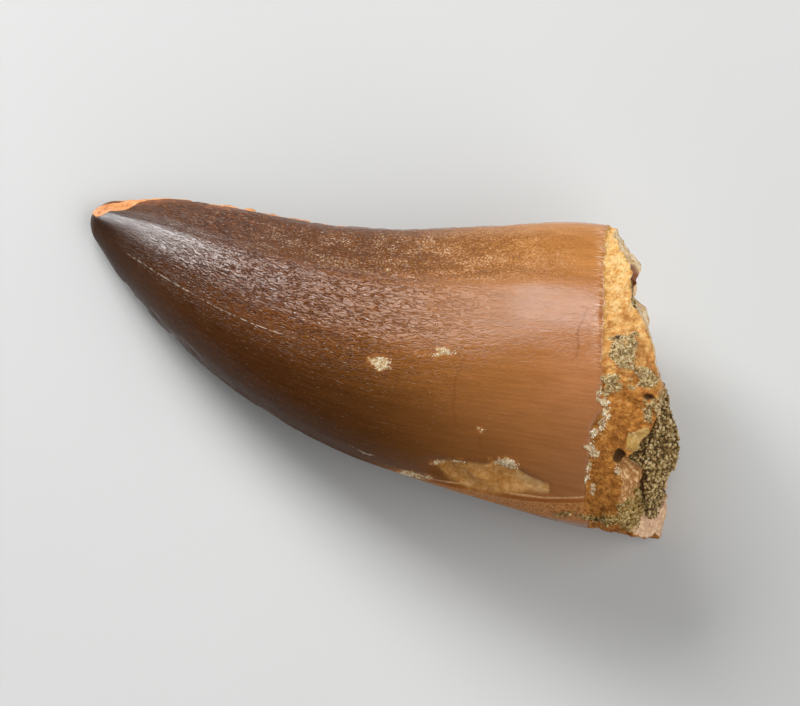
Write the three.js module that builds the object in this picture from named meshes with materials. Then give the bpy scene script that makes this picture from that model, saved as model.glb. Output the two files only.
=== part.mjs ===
// Fossil mosasaur tooth: a recurved crown with two cutting edges, the bare collar under the
// enamel, the broken root stub, and the sandy sediment that fills its pulp cavity.
// Millimetres, +Z up. X runs from the tip to the root, the concave distal edge looks to +Y and
// the flatter labial (outer) face looks up: the tooth lies on its lingual (inner) face.
import * as THREE from 'three';

// ---- driving dimensions -------------------------------------------------------------------

// Sections along the tooth, tip first: the centre of each, half its width between the cutting
// edges, its height to the labial face and its depth to the lingual face.
const STATIONS = [
  { centre: [-23.3, 13.7, 1.3], width: 1.2, labial: 0.95, lingual: 1.0 },
  { centre: [-18.6, 10.7, 3.2], width: 3.7, labial: 2.2, lingual: 2.3 },
  { centre: [-13.5, 7.1, 5.2], width: 5.6, labial: 3.3, lingual: 3.8 },
  { centre: [-7.5, 3.4, 7.1], width: 7.3, labial: 4.2, lingual: 5.4 },
  { centre: [-1.0, 0.7, 8.6], width: 8.9, labial: 4.9, lingual: 6.9 },
  { centre: [5.5, -0.8, 9.7], width: 10.1, labial: 5.4, lingual: 8.2 },
  { centre: [11.5, -1.8, 10.4], width: 11.1, labial: 5.8, lingual: 9.4 },
  { centre: [17.0, -2.9, 10.8], width: 11.4, labial: 6.1, lingual: 10.4 },
  { centre: [22.0, -3.9, 10.9], width: 11.5, labial: 6.3, lingual: 10.9 },
];
const LABIAL_POWER = 2.0;     // superellipse power of a section's labial half: an ellipse
const LINGUAL_POWER = 2.35;   // and of its fuller lingual half
const TIP_ROUNDING = 1.3;     // length over which the tip closes

const EDGE_HEIGHT = 0.3;      // how far a cutting edge stands up
const EDGE_WIDTH = 0.55;      // distance at which it has faded to about a third
const EDGE_START = 5;         // it reaches its full height this far from the tip
const ENAMEL_STEP = 0.2;      // the enamel stands this far above the collar
const COLLAR_EDGE = 0.3;      // share of the cutting edges' height that is left on the collar
const FLANK_DEPTH = 0.32;     // depth of the hollow flank between the labial face and the distal edge
const FLANK_WIDTH = 2.4;      // its deepest line lies this far from the line where it begins
const FLANK_START = 4;        // it reaches its full depth this far from the tip

const WALL = 2.1;             // thickness of the root's wall round the pulp cavity
const CAVITY_FLOOR = 37.0;    // distance from the tip at which the cavity closes
const CAVITY_FULL = 40.5;     // and at which it has its full width
const GAP = 0.3;              // clearance between the sediment and the cavity
const PLUG_BULGE = 0.9;       // how far the bare sediment swells outside the cavity's line
const PLUG_CENTRE = 47.1;     // distance from the tip of the middle of the sediment's end face
const PLUG_GRAIN = { height: 0.18, pitch: 1.7 };   // the small lumps all over that face
const PLUG_LUMP = { out: 1.9, y: -5.2, z: 0.6, reach: 4.4 };   // the mound on that end face

// Outlines that run round the tooth: [angle, distance from the tip], the angle in degrees from
// the distal edge over the labial face.
const ENAMEL_LINE = [
  [0, 41.7], [27, 41.8], [60, 42.5], [84, 43.3], [100, 43.7], [116, 44.3], [122, 43.8],
  [150, 44.0], [180, 44.4], [240, 43.6], [300, 42.4], [330, 41.9],
];
const BROKEN_RIM = [
  [0, 42.5], [10, 42.3], [27, 42.5], [42, 43.6], [50, 44.1], [64, 44.7], [71, 45.2], [80, 46.1],
  [88, 47.1], [102, 48.0], [112, 48.0], [122, 47.7], [130, 47.1], [135, 46.1], [146, 46.3],
  [160, 46.5], [182, 47.3], [195, 48.0], [208, 48.8], [225, 49.5], [245, 49.2], [270, 48.2],
  [292, 46.3], [303, 45.3], [315, 45.0], [319, 43.9], [338, 43.8], [345, 43.6], [352, 42.9],
];
// How much further from the tip the broken wall reaches on its inside than on its outside.
const RIM_BEVEL = [[0, 0], [136, 0], [146, 1.3], [180, 1.3], [196, 0]];
const PLUG_EDGE = [
  [0, 42.9], [27, 42.9], [50, 44.3], [66, 44.8], [80, 46.1], [100, 47.9], [122, 48.6],
  [146, 48.7], [200, 48.6], [225, 48.8], [250, 48.2], [280, 46.6], [310, 44.6], [335, 43.7],
];
// Lines that run along the tooth: [distance from the tip, angle]. The mesial cutting edge swings
// onto the labial face at the base. The hollow flank begins at the flank line.
const MESIAL_EDGE = [[0, 180], [32, 180], [37, 172], [41, 165], [44, 159], [47, 152], [52, 146]];
const FLANK_LINE = [[0, 84], [3, 79], [7, 73], [14, 70], [28, 70], [34, 68], [42, 62], [48, 58]];

// Forms that stand out of the tooth or sink into it: where the middle is, the half lengths along
// and round the tooth, and the height, which is negative for a hollow.
const FORMS = [
  { name: 'hollow beside the distal edge', at: 14, angle: 44, along: 17, round: 3.2, height: -0.35 },
  { name: 'worn facet at the tip', at: 2.4, angle: 38, along: 2.8, round: 1.5, height: -0.25 },
  { name: 'chip on the mesial edge', at: 33.6, angle: 163, along: 2.2, round: 2.2, height: -0.35 },
  { name: 'chip beside it', at: 38.4, angle: 157, along: 3.2, round: 2.0, height: -0.4 },
  { name: 'crust on the collar', at: 45.2, angle: 92, along: 1.9, round: 3.0, height: 0.4 },
  { name: 'crust at the rim', at: 47.2, angle: 106, along: 1.2, round: 1.6, height: 0.3 },
  { name: 'crust on the mesial side', at: 46.0, angle: 174, along: 1.1, round: 2.6, height: 0.45 },
  { name: 'crust along the enamel', at: 44.9, angle: 118, along: 0.6, round: 2.4, height: 0.25 },
  { name: 'swelling it rests on', at: 48.8, angle: 236, along: 3.4, round: 4.2, height: 1.8 },
  { name: 'second swelling', at: 48.0, angle: 284, along: 3.4, round: 4.0, height: 0.5 },
  { name: 'hollow between them', at: 48.8, angle: 258, along: 3.0, round: 2.4, height: -0.3 },
];

// How the tooth lies: turned until its tip and its two swellings touch the plane z = 0, and
// moved until the middle of its box is over the origin.
const LIE = { roll: -0.23, pitch: -0.38, x: 1.54, y: -0.08, z: -0.26 };

const COLUMNS = 72;           // facets round the tooth and the sediment
const CROWN_RINGS = 24;       // rings from the rounded tip to the enamel line
const COLLAR_RINGS = 8;       // rings from there to the broken rim
const WALL_RINGS = 3;         // rings down the straight part of the cavity
const FLOOR_RINGS = [1, 0.6, 0.3, 0.12, 0.03];   // and of its rounded floor, as shares of its height

// ---- curves and small functions -----------------------------------------------------------

const path = new THREE.CatmullRomCurve3(
  STATIONS.map((station) => new THREE.Vector3(...station.centre)), false, 'catmullrom', 0.5);
path.arcLengthDivisions = 1000;
const pathLength = path.getLength();
const sizes = new THREE.CatmullRomCurve3(
  STATIONS.map(({ width, labial, lingual }) => new THREE.Vector3(width, labial, lingual)),
  false, 'catmullrom', 0.5);

const radians = THREE.MathUtils.degToRad;
const clamp01 = (value) => THREE.MathUtils.clamp(value, 0, 1);
const smooth = (value) => THREE.MathUtils.smoothstep(value, 0, 1);
const signedPower = (value, power) => Math.sign(value) * Math.abs(value) ** power;
const angleBetween = (a, b) => THREE.MathUtils.euclideanModulo(a - b + 180, 360) - 180;

// The value of a list of [key, value] pairs at a key, on straight lines between the pairs.
function alongList(list, key) {
  const next = list.findIndex(([listKey]) => listKey > key);
  if (next < 0) return list.at(-1)[1];
  if (next === 0) return list[0][1];
  const [[keyA, valueA], [keyB, valueB]] = [list[next - 1], list[next]];
  return valueA + (valueB - valueA) * (key - keyA) / (keyB - keyA);
}

// The same for a list that closes on itself round the tooth.
function aroundList(list, angle) {
  const [firstAngle, firstValue] = list[0];
  return alongList([...list, [firstAngle + 360, firstValue]],
    THREE.MathUtils.euclideanModulo(angle, 360));
}

// ---- the form of the tooth ----------------------------------------------------------------

// The section at a distance from the tip: its centre, its two directions and its sizes.
function sectionAt(distance) {
  const t = path.getUtoTmapping(clamp01(distance / pathLength));
  const tangent = path.getTangent(t);
  const distal = new THREE.Vector3(0, 1, 0).addScaledVector(tangent, -tangent.y).normalize();
  const labial = new THREE.Vector3().crossVectors(tangent, distal);
  const size = sizes.getPoint(t);
  return { centre: path.getPoint(t), distal, labial, width: size.x, up: size.y, down: size.z };
}

// The section's bare outline at an angle: how far distal and how far labial of the centre.
function outlineAt(section, distance, angle) {
  const cosine = Math.cos(radians(angle));
  const sine = Math.sin(radians(angle));
  const power = sine >= 0 ? LABIAL_POWER : LINGUAL_POWER;
  const closing = Math.sqrt(1 - clamp01(1 - distance / TIP_ROUNDING) ** 2);
  return new THREE.Vector2(
    section.width * closing * signedPower(cosine, 2 / power),
    (sine >= 0 ? section.up : section.down) * closing * signedPower(sine, 2 / power));
}

// How far the surface stands above the bare outline.
function relief(section, distance, angle) {
  const perDegree = radians(section.width);
  const ridge = (ridgeAngle) =>
    Math.exp(-Math.abs(angleBetween(angle, ridgeAngle)) * perDegree / EDGE_WIDTH);
  let height = EDGE_HEIGHT * smooth(distance / EDGE_START)
    * (ridge(0) + ridge(alongList(MESIAL_EDGE, distance)));
  if (distance > aroundList(ENAMEL_LINE, angle) + ENAMEL_STEP / 4) {
    height = height * COLLAR_EDGE - ENAMEL_STEP;
  }
  for (const form of FORMS) {
    const u = (distance - form.at) / form.along;
    const v = angleBetween(angle, form.angle) * perDegree / form.round;
    height += form.height * clamp01(1 - u * u - v * v) ** 2;
  }
  const pastFlankLine = Math.max(angleBetween(alongList(FLANK_LINE, distance), angle), 0);
  const across = pastFlankLine * perDegree / FLANK_WIDTH;
  return height - FLANK_DEPTH * smooth(distance / FLANK_START) * across * Math.exp(1 - across);
}

// A point of a section, given by its place on the outline and a height added to it.
function pointOn(section, outline, height) {
  const reach = Math.max(outline.length(), TIP_ROUNDING / 4);
  const scale = 1 + height / reach;
  return section.centre.clone()
    .addScaledVector(section.distal, outline.x * scale)
    .addScaledVector(section.labial, outline.y * scale);
}

function outerPoint(distance, angle) {
  const section = sectionAt(distance);
  const outline = outlineAt(section, distance, angle);
  return pointOn(section, outline, relief(section, distance, angle) * clamp01(outline.length()));
}

// A point of the pulp cavity's wall, or with a gap, of the sediment inside it.
function cavityPoint(distance, angle, gap = 0, bulge = 0) {
  const section = sectionAt(distance);
  const outline = outlineAt(section, distance, angle);
  const depth = clamp01((distance - CAVITY_FLOOR - gap) / (CAVITY_FULL - CAVITY_FLOOR));
  const opening = Math.sqrt(1 - (1 - depth) ** 2);
  const reach = outline.length();
  return pointOn(section, outline, opening * (reach - WALL - gap) + bulge - reach);
}

// The distance from the tip at which the broken wall ends on its inside.
const innerRim = (angle) => aroundList(BROKEN_RIM, angle) + aroundList(RIM_BEVEL, angle);

// ---- closed surfaces ----------------------------------------------------------------------

// Joins rings of points, from one pole to the other, into a closed geometry.
function closedSurface(firstPole, rings, lastPole) {
  const columns = rings[0].length;
  const points = [...rings.flat(), firstPole, lastPole];
  const [first, last] = [points.length - 2, points.length - 1];
  const index = [];
  for (let column = 0; column < columns; column += 1) {
    const next = (column + 1) % columns;
    index.push(first, next, column);
    for (let ring = 0; ring + 1 < rings.length; ring += 1) {
      const here = ring * columns;
      const there = here + columns;
      index.push(here + column, there + next, there + column);
      index.push(here + column, here + next, there + next);
    }
    const end = (rings.length - 1) * columns;
    index.push(last, end + column, end + next);
  }
  const geometry = new THREE.BufferGeometry().setFromPoints(points);
  geometry.setIndex(index);
  geometry.computeVertexNormals();
  return geometry;
}

// A ring of the tooth's surface. Half the columns lie on either side of the cutting edges, so
// that a column runs along each edge; distanceAt gives the ring's distance from the tip.
function surfaceRing(distanceAt) {
  const ring = [];
  for (let column = 0; column < COLUMNS; column += 1) {
    const share = 2 * column / COLUMNS;
    let angle = 180 * share;
    for (let pass = 0; pass < 3; pass += 1) {
      const mesial = alongList(MESIAL_EDGE, distanceAt(angle));
      angle = share <= 1 ? share * mesial : mesial + (share - 1) * (360 - mesial);
    }
    ring.push(outerPoint(distanceAt(angle), angle));
  }
  return ring;
}

const evenRing = (pointAt) =>
  Array.from({ length: COLUMNS }, (_, column) => pointAt(360 * column / COLUMNS));
const between = (a, b, share) => a + (b - a) * share;

function toothGeometry() {
  const rings = [0.1, 0.3, 0.6].map((share) => surfaceRing(() => share * TIP_ROUNDING));
  for (let step = 0; step <= CROWN_RINGS; step += 1) {
    rings.push(surfaceRing((angle) =>
      between(TIP_ROUNDING, aroundList(ENAMEL_LINE, angle), step / CROWN_RINGS)));
  }
  for (let step = 0; step <= COLLAR_RINGS; step += 1) {
    rings.push(surfaceRing((angle) => {
      const start = aroundList(ENAMEL_LINE, angle) + ENAMEL_STEP / 2;
      return between(start, aroundList(BROKEN_RIM, angle), step / COLLAR_RINGS);
    }));
  }
  for (let step = 0; step < WALL_RINGS; step += 1) {
    rings.push(evenRing((angle) => cavityPoint(
      between(innerRim(angle), CAVITY_FULL, step / WALL_RINGS), angle)));
  }
  for (const share of FLOOR_RINGS) {
    rings.push(evenRing((angle) =>
      cavityPoint(between(CAVITY_FLOOR, CAVITY_FULL, share), angle)));
  }
  return closedSurface(path.getPointAt(0), rings, sectionAt(CAVITY_FLOOR).centre);
}

// The highest that the broken rim reaches close to an angle.
const rimNear = (angle) =>
  Math.max(...[-7.5, -5, -2.5, 0, 2.5, 5, 7.5].map((off) => innerRim(angle + off)));

function plugGeometry() {
  const floor = CAVITY_FLOOR + GAP;
  const full = CAVITY_FULL + GAP;
  const rings = FLOOR_RINGS.toReversed().map((share) =>
    evenRing((angle) => cavityPoint(between(floor, full, share), angle, GAP)));
  for (const share of [0.5, 1]) {
    rings.push(evenRing((angle) =>
      cavityPoint(between(full, innerRim(angle), share), angle, GAP)));
  }
  for (const share of [0.4, 0.75, 1]) {
    rings.push(evenRing((angle) => {
      const rim = innerRim(angle) + GAP;
      const edge = Math.max(aroundList(PLUG_EDGE, angle), rim + GAP);
      const distance = between(rim, edge, share);
      const bare = THREE.MathUtils.clamp(distance - rimNear(angle) - GAP, 0, PLUG_BULGE);
      return cavityPoint(distance, angle, GAP, bare);
    }));
  }
  const end = sectionAt(PLUG_CENTRE);
  const outward = new THREE.Vector3().crossVectors(end.distal, end.labial);
  const raised = (point, inset) => {
    const offset = point.clone().sub(end.centre);
    const y = offset.dot(end.distal) - PLUG_LUMP.y;
    const z = offset.dot(end.labial) - PLUG_LUMP.z;
    const lumps = Math.sin(offset.y * 2 / PLUG_GRAIN.pitch + offset.z)
      + Math.sin(offset.z * 2 / PLUG_GRAIN.pitch - offset.y * 1.7);
    const height = PLUG_LUMP.out * Math.exp(-(y * y + z * z) / PLUG_LUMP.reach ** 2)
      + PLUG_GRAIN.height * lumps;
    return point.clone().addScaledVector(outward, height * clamp01(inset * 3));
  };
  const edgeRing = rings.at(-1);
  for (const inset of [0.08, 0.2, 0.33, 0.46, 0.6, 0.74, 0.88]) {
    rings.push(edgeRing.map((point) => raised(point.clone().lerp(end.centre, inset), inset)));
  }
  return closedSurface(sectionAt(floor).centre, rings, raised(end.centre, 1));
}

// ---- the specimen -------------------------------------------------------------------------

const enamelAndDentine = new THREE.MeshStandardMaterial(
  { color: 0x8a4f2b, roughness: 0.4, metalness: 0 });
const sandySediment = new THREE.MeshStandardMaterial(
  { color: 0x8d7748, roughness: 0.95, metalness: 0 });

function named(name, geometry, material) {
  const mesh = new THREE.Mesh(geometry, material);
  mesh.name = name;
  return mesh;
}

const specimen = new THREE.Group();
specimen.add(named('tooth', toothGeometry(), enamelAndDentine));
specimen.add(named('matrix_plug', plugGeometry(), sandySediment));
specimen.rotation.set(radians(LIE.roll), radians(LIE.pitch), 0);
specimen.position.set(LIE.x, LIE.y, LIE.z);

export default specimen;
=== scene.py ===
"""Fossil mosasaur tooth: the looks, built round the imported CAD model.

Shapes are worked out in millimetres in the tooth's own frame, as in part.mjs, and are laid down
and scaled to metres when a mesh is made. Distances run along the tooth's centreline from its
tip. Angles run round it in degrees, from the distal cutting edge (0) over the labial face (90)
and the mesial edge (180) to the lingual face (270), which it lies on.
"""
import functools
import itertools
import math

import bmesh
import bpy
import numpy as np
from mathutils import Euler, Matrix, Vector


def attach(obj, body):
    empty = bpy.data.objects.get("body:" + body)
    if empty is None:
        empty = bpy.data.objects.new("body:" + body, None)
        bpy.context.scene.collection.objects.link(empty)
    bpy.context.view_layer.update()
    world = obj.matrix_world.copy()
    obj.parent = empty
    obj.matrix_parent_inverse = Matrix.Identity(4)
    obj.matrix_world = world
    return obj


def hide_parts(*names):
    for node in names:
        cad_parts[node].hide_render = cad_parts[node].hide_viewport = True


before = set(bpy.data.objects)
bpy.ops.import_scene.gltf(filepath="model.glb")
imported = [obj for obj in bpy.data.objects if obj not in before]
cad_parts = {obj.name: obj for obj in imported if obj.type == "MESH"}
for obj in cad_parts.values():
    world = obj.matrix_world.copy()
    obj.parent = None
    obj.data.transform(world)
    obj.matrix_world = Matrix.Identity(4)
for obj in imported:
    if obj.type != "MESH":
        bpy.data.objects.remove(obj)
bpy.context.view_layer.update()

MM = 0.001
OUTSIDE = -9.0      # the depth inside a place, in millimetres, of what is nowhere near it
FAR = 99.0          # farther apart, in millimetres, than any two places on the tooth


# ---- numbers -------------------------------------------------------------------------------

def spline(values, t):
    """A Catmull-Rom curve through rows of values, at t rows from the first."""
    last = len(values) - 1
    t = np.clip(t, 0, last)
    row = np.minimum(t.astype(int), last - 1)
    f = (t - row)[..., None]
    before_first, after_last = 2 * values[[0, -1]] - values[[1, -2]]
    rows = np.concatenate([[before_first], values, [after_last]])
    before, a, b, after = (rows[row + step] for step in range(4))
    slope_a, slope_b = (b - before) / 2, (after - a) / 2
    return ((2 * f**3 - 3 * f**2 + 1) * a + (f**3 - 2 * f**2 + f) * slope_a
            + (3 * f**2 - 2 * f**3) * b + (f**3 - f**2) * slope_b)


def along_list(pairs, key):
    return np.interp(key, *np.array(pairs, float).T)


def around_list(pairs, angle):
    return along_list([*pairs, [pairs[0][0] + 360, pairs[0][1]]], np.mod(angle, 360))


def smooth(value):
    value = np.clip(value, 0, 1)
    return value * value * (3 - 2 * value)


def fade(value, low, high):
    """0 below low, 1 above high, and smooth between."""
    return smooth((value - low) / (high - low))


def between(a, b, share):
    return a + (b - a) * share


def signed_power(value, power):
    return np.sign(value) * np.abs(value) ** power


class NoiseField:
    """A smooth random height over points, up or down, that changes over about one pitch, and
    over stretch times that along X. Fields with the same seed have the same pattern."""

    SIZE = 64

    def __init__(self, seed, height, pitch, stretch=1, octaves=1):
        size = (self.SIZE,) * 3
        self.lattice = np.random.default_rng(seed).uniform(-1, 1, size)
        self.height, self.octaves = height, octaves
        self.scale = np.array([1 / stretch, 1, 1]) / pitch

    def octave(self, points):
        cell = np.floor(points).astype(int)
        share = smooth(points - cell)
        total = np.zeros(points.shape[:-1])
        for corner in itertools.product((0, 1), repeat=3):
            weight = np.where(corner, share, 1 - share).prod(axis=-1)
            i, j, k = np.moveaxis((cell + corner) % self.SIZE, -1, 0)
            total += weight * self.lattice[i, j, k]
        return total

    def __call__(self, points):
        points = points * self.scale
        octaves = (self.octave(points * 2**n + 7.3 * n) / 2**n for n in range(self.octaves))
        return self.height * sum(octaves)


# ---- the tooth's form, as in part.mjs ------------------------------------------------------

# Sections along the tooth, tip first: centre x, y, z, half width, labial height, lingual depth.
STATIONS = np.array([
    [-23.3, 13.7, 1.3, 1.2, 0.95, 1.0],
    [-18.6, 10.7, 3.2, 3.7, 2.2, 2.3],
    [-13.5, 7.1, 5.2, 5.6, 3.3, 3.8],
    [-7.5, 3.4, 7.1, 7.3, 4.2, 5.4],
    [-1.0, 0.7, 8.6, 8.9, 4.9, 6.9],
    [5.5, -0.8, 9.7, 10.1, 5.4, 8.2],
    [11.5, -1.8, 10.4, 11.1, 5.8, 9.4],
    [17.0, -2.9, 10.8, 11.4, 6.1, 10.4],
    [22.0, -3.9, 10.9, 11.5, 6.3, 10.9],
])
LABIAL_POWER = 2.0
LINGUAL_POWER = 2.35
TIP_ROUNDING = 1.3
EDGE_HEIGHT = 0.3
EDGE_WIDTH = 0.55
EDGE_START = 5.0
ENAMEL_STEP = 0.2
COLLAR_EDGE = 0.3
FLANK_DEPTH = 0.32
FLANK_WIDTH = 2.4
FLANK_START = 4.0
WALL = 2.1
CAVITY_FLOOR = 37.0
CAVITY_FULL = 40.5
PLUG_CENTRE = 47.1
PLUG_LUMP = dict(out=1.9, y=-5.2, z=0.6, reach=4.4)
LIE_TURN = Euler((math.radians(-0.23), math.radians(-0.38), 0.0)).to_matrix()
LIE_SHIFT = Vector((1.54, -0.08, -0.26))

# [angle, distance]
ENAMEL_LINE = [
    [0, 41.7], [27, 41.8], [60, 42.5], [84, 43.3], [100, 43.7], [116, 44.3], [122, 43.8],
    [150, 44.0], [180, 44.4], [240, 43.6], [300, 42.4], [330, 41.9],
]
BROKEN_RIM = [
    [0, 42.5], [10, 42.3], [27, 42.5], [42, 43.6], [50, 44.1], [64, 44.7], [71, 45.2], [80, 46.1],
    [88, 47.1], [102, 48.0], [112, 48.0], [122, 47.7], [130, 47.1], [135, 46.1], [146, 46.3],
    [160, 46.5], [182, 47.3], [195, 48.0], [208, 48.8], [225, 49.5], [245, 49.2], [270, 48.2],
    [292, 46.3], [303, 45.3], [315, 45.0], [319, 43.9], [338, 43.8], [345, 43.6], [352, 42.9],
]
RIM_BEVEL = [[0, 0], [136, 0], [146, 1.3], [180, 1.3], [196, 0]]
PLUG_EDGE = [
    [0, 42.9], [27, 42.9], [50, 44.3], [66, 44.8], [80, 46.1], [100, 47.9], [122, 48.6],
    [146, 48.7], [200, 48.6], [225, 48.8], [250, 48.2], [280, 46.6], [310, 44.6], [335, 43.7],
]
# [distance, angle]
MESIAL_EDGE = [[0, 180], [32, 180], [37, 172], [41, 165], [44, 159], [47, 152], [52, 146]]
FLANK_LINE = [[0, 84], [3, 79], [7, 73], [14, 70], [28, 70], [34, 68], [42, 62], [48, 58]]

# Distance and angle of the middle, half lengths along and round the tooth, and height.
FORMS = {
    "hollow beside the distal edge": (14, 44, 17, 3.2, -0.35),
    "worn facet at the tip": (2.4, 38, 2.8, 1.5, -0.25),
    "chip on the mesial edge": (33.6, 163, 2.2, 2.2, -0.35),
    "chip beside it": (38.4, 157, 3.2, 2.0, -0.4),
    "crust on the collar": (45.2, 92, 1.9, 3.0, 0.4),
    "crust at the rim": (47.2, 106, 1.2, 1.6, 0.3),
    "crust on the mesial side": (46.0, 174, 1.1, 2.6, 0.45),
    "crust along the enamel": (44.9, 118, 0.6, 2.4, 0.25),
    "swelling it rests on": (48.8, 236, 3.4, 4.2, 1.8),
    "second swelling": (48.0, 284, 3.4, 4.0, 0.5),
    "hollow between them": (48.8, 258, 3.0, 2.4, -0.3),
}

# ---- details that only the looks have ------------------------------------------------------

# How softly the flank starts, as [distance, width].
FLANK_ROUNDING = [[0, 0.15], [22, 0.2], [30, 0.4], [38, 0.9], [48, 1.2]]
# Wrinkles in the enamel: how high, how far apart, and how many times as long as that.
UNDULATION = NoiseField(1, height=0.06, pitch=1.3, stretch=7)
WRINKLES = NoiseField(2, height=0.02, pitch=0.34, stretch=4)
# How wrinkled the enamel is, as [distance, share] and as [angle, share] of that.
WRINKLED_ALONG = [
    [0, 0], [3, 0.1], [6, 0.4], [9, 0.85], [12, 1], [26, 1], [32, 0.45], [37, 0.1],
]
WRINKLED_AROUND = [
    [0, 0.4], [20, 0.9], [60, 0.9], [71, 1], [102, 1], [118, 0.5], [132, 0.1], [180, 0.1],
    [215, 0.6], [300, 0.6],
]
# How the grain wanders off its lengthwise course.
WANDER = NoiseField(3, height=0.35, pitch=3, stretch=2)
# The polished ridge near the tip: how far its middle is on the mesial side of the flank line,
# its half width, and the share of the wrinkles that it has lost.
RIDGE = dict(offset=0.7, half_width=1.5, smoothed=0.65)
# Where the flank is rough and gritty, in the same way as where it is wrinkled.
SPECKLED_ALONG = [[12, 0], [15, 0.6], [18, 1], [34, 1], [39, 0.5], [42, 0]]
SPECKLED_AROUND = [[0, 0], [22, 0.3], [36, 1], [60, 1], [68, 0]]
# Other roughness. The mesial edge's nicks end between two distances.
EDGE_NICKS = NoiseField(4, height=0.16, pitch=0.9, octaves=2)
MESIAL_NICKS_END = (20, 28)
RIM_NICKS = NoiseField(5, height=0.35, pitch=1.1, octaves=3)
ENAMEL_FRAYING = NoiseField(5, height=0.12, pitch=0.275)
FRACTURE = NoiseField(6, height=0.3, pitch=0.9, octaves=3)
COLLAR_ROUGHNESS = NoiseField(7, height=0.13, pitch=0.5, octaves=3)
CRUST_ROUGHNESS = NoiseField(8, height=0.22, pitch=0.6, octaves=3)
SEDIMENT_LUMPS = NoiseField(9, height=0.3, pitch=1.5, octaves=2)
SEDIMENT_GRAIN = NoiseField(10, height=0.34, pitch=0.38, octaves=2)
# How far the outlines of the crusts below stray, on the tooth and at its rim.
CRUST_FRAYING = NoiseField(8, height=0.6, pitch=0.6, octaves=3)
RIM_CRUST_FRAYING = NoiseField(8, height=0.3, pitch=0.6)

# Outlines of bare dentine where the enamel has chipped or worn away, as [distance, angle].
BARE_PATCHES = {
    "chips on the mesial edge": [
        [33.3, 157.5], [34.4, 152.5], [36.4, 149.5], [36.9, 145], [38.3, 148], [39.6, 152],
        [41.4, 152.5], [41.5, 160], [38.8, 166], [37, 172], [35.2, 175], [33.6, 172], [32.7, 164],
    ],
    "facet at the tip": [
        [0.06, 100], [1, 103], [1.6, 88], [1.95, 73], [2.55, 64], [2.9, 49], [3.2, 27],
        [3.6, 13], [4.8, 4], [4.6, -30], [0.06, -60],
    ],
}
# How wide the bare dentine is along the distal edge, as [distance, width].
WORN_EDGE = [
    [3.5, 0.2], [6.5, 0.12], [8, 0.15], [9.4, 0.4], [10.6, 0.2], [11.6, 0.35], [13.5, 0.55],
    [15, 0.35], [17.5, 0.3], [20, 0.05], [22, -0.2],
]
# Patches of sediment left on the tooth: distance, angle, half lengths along and round it.
CRUST_PATCHES = [
    (44.9, 92, 0.9, 1.3), (46.3, 99, 0.9, 0.7), (47.3, 112, 0.5, 1), (46.5, 169, 1.3, 0.9),
    (44.7, 104, 0.45, 0.7), (43.9, 176, 1.2, 0.4),
]
# How far sediment covers the broken edge of the wall, as [angle, depth]; less than 0 is bare.
RIM_CRUST = [
    [0, -1], [98, -1], [112, 0.2], [119, -1], [152, -1], [161, 0.2], [168, 0.6],
    [182, 0.6], [192, -0.8], [256, -0.6], [264, 0.2], [275, -0.8],
]
# Cream grains stuck to the enamel, in the same order; the last two are pale specks painted where
# white glints show.
CREAM_GRAINS_AND_GLINT_SPECKS = [
    (28.2, 110, 0.75, 0.5), (32.6, 100, 0.6, 0.3), (31.7, 102, 0.7, 0.1), (34.9, 79, 0.18, 0.15),
    (37.6, 148, 1, 0.55), (34.3, 154, 0.5, 0.2), (32.9, 160, 0.4, 0.3), (30.9, 178, 1.2, 0.25),
    (35.7, 132, 0.12, 0.12), (46.05, 139, 0.3, 0.35), (26.4, 60, 0.16, 0.12), (28.7, 64, 0.3, 0.08),
]
# Beads of pale sediment along the edge of the enamel.
BEADS = [
    (43.8, 108, 0.2, 0.45), (44.4, 112, 0.3, 0.35), (44.6, 116, 0.3, 0.5), (44.4, 121, 0.25, 0.5),
    (44, 125, 0.25, 0.3), (43.9, 131, 0.3, 0.4), (44.3, 134, 0.3, 0.3), (44, 141, 0.2, 0.35),
    (44, 146, 0.2, 0.25), (44.5, 153, 0.2, 0.3),
]
# A pale flake at the rim, as [distance, angle].
PALE_SHARD = [[46.2, 123], [47.6, 119], [47.9, 123], [47.2, 131], [46.3, 130]]
# Dark pits in the collar, in the order of the patches, and how deep they are. The third is the hole
# at the rim, and its dark colour is painted shade.
PITS = [(44.5, 86.5, 0.45, 0.22), (47.2, 107, 0.5, 0.25), (46, 133.6, 0.5, 0.65)]
PIT_DEPTH = 0.35
# Hairline cracks in the enamel, and light scratches, as [distance, angle].
CRACKS = [
    [[34.1, 100], [33.7, 112], [33.8, 124], [34.1, 132]],
    [[35.5, 133], [35.9, 142]],
    [[42, 76], [41.6, 86], [41.9, 96]],
]
SCRATCHES = [
    [[5.5, 123], [15.2, 115], [22.2, 111]], [[27, 167], [28.3, 170]], [[27.6, 171], [28.6, 168]],
    [[28.5, 28], [29.1, 34]],
]

# How far the sediment's edge lies below the broken rim, as [angle, depth].
SUNK_SEDIMENT = [
    [0, 1], [95, 1.4], [112, 0.8], [122, 0.3], [129, 0.9], [137, 1], [143, 0.1], [205, 0],
    [225, 0.6], [250, 0.6], [265, 0], [275, 0], [300, 0.8],
]
# How far inside the broken wall the darkening begins, as [angle, depth]; at 9 none is seen. Near
# 133 degrees it is painted shade in the hole, and near 340 degrees painted shade with some real
# stain.
RIM_STAIN_AND_SHADE = [
    [0, 9], [128, 9], [130, -0.4], [136, -0.4], [137, 9], [316, 9], [320, 1.2],
    [334, 0.85], [345, 0.85], [348, 9],
]

SEDIMENT_GAP = 0.05                   # between the cavity's line and the sediment's
SEDIMENT_BULGE = 0.7                  # how much wider it is outside the cavity, at most
LEAST_SEDIMENT = 0.4                  # how far its face is past the inner rim, at least
SUNK_RINGS = (1.5, 0.8, 0.3, 0)       # depths of its first rings below its edge
FIRST_BARE_RING = 8                   # its first ring with loose grains

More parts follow.
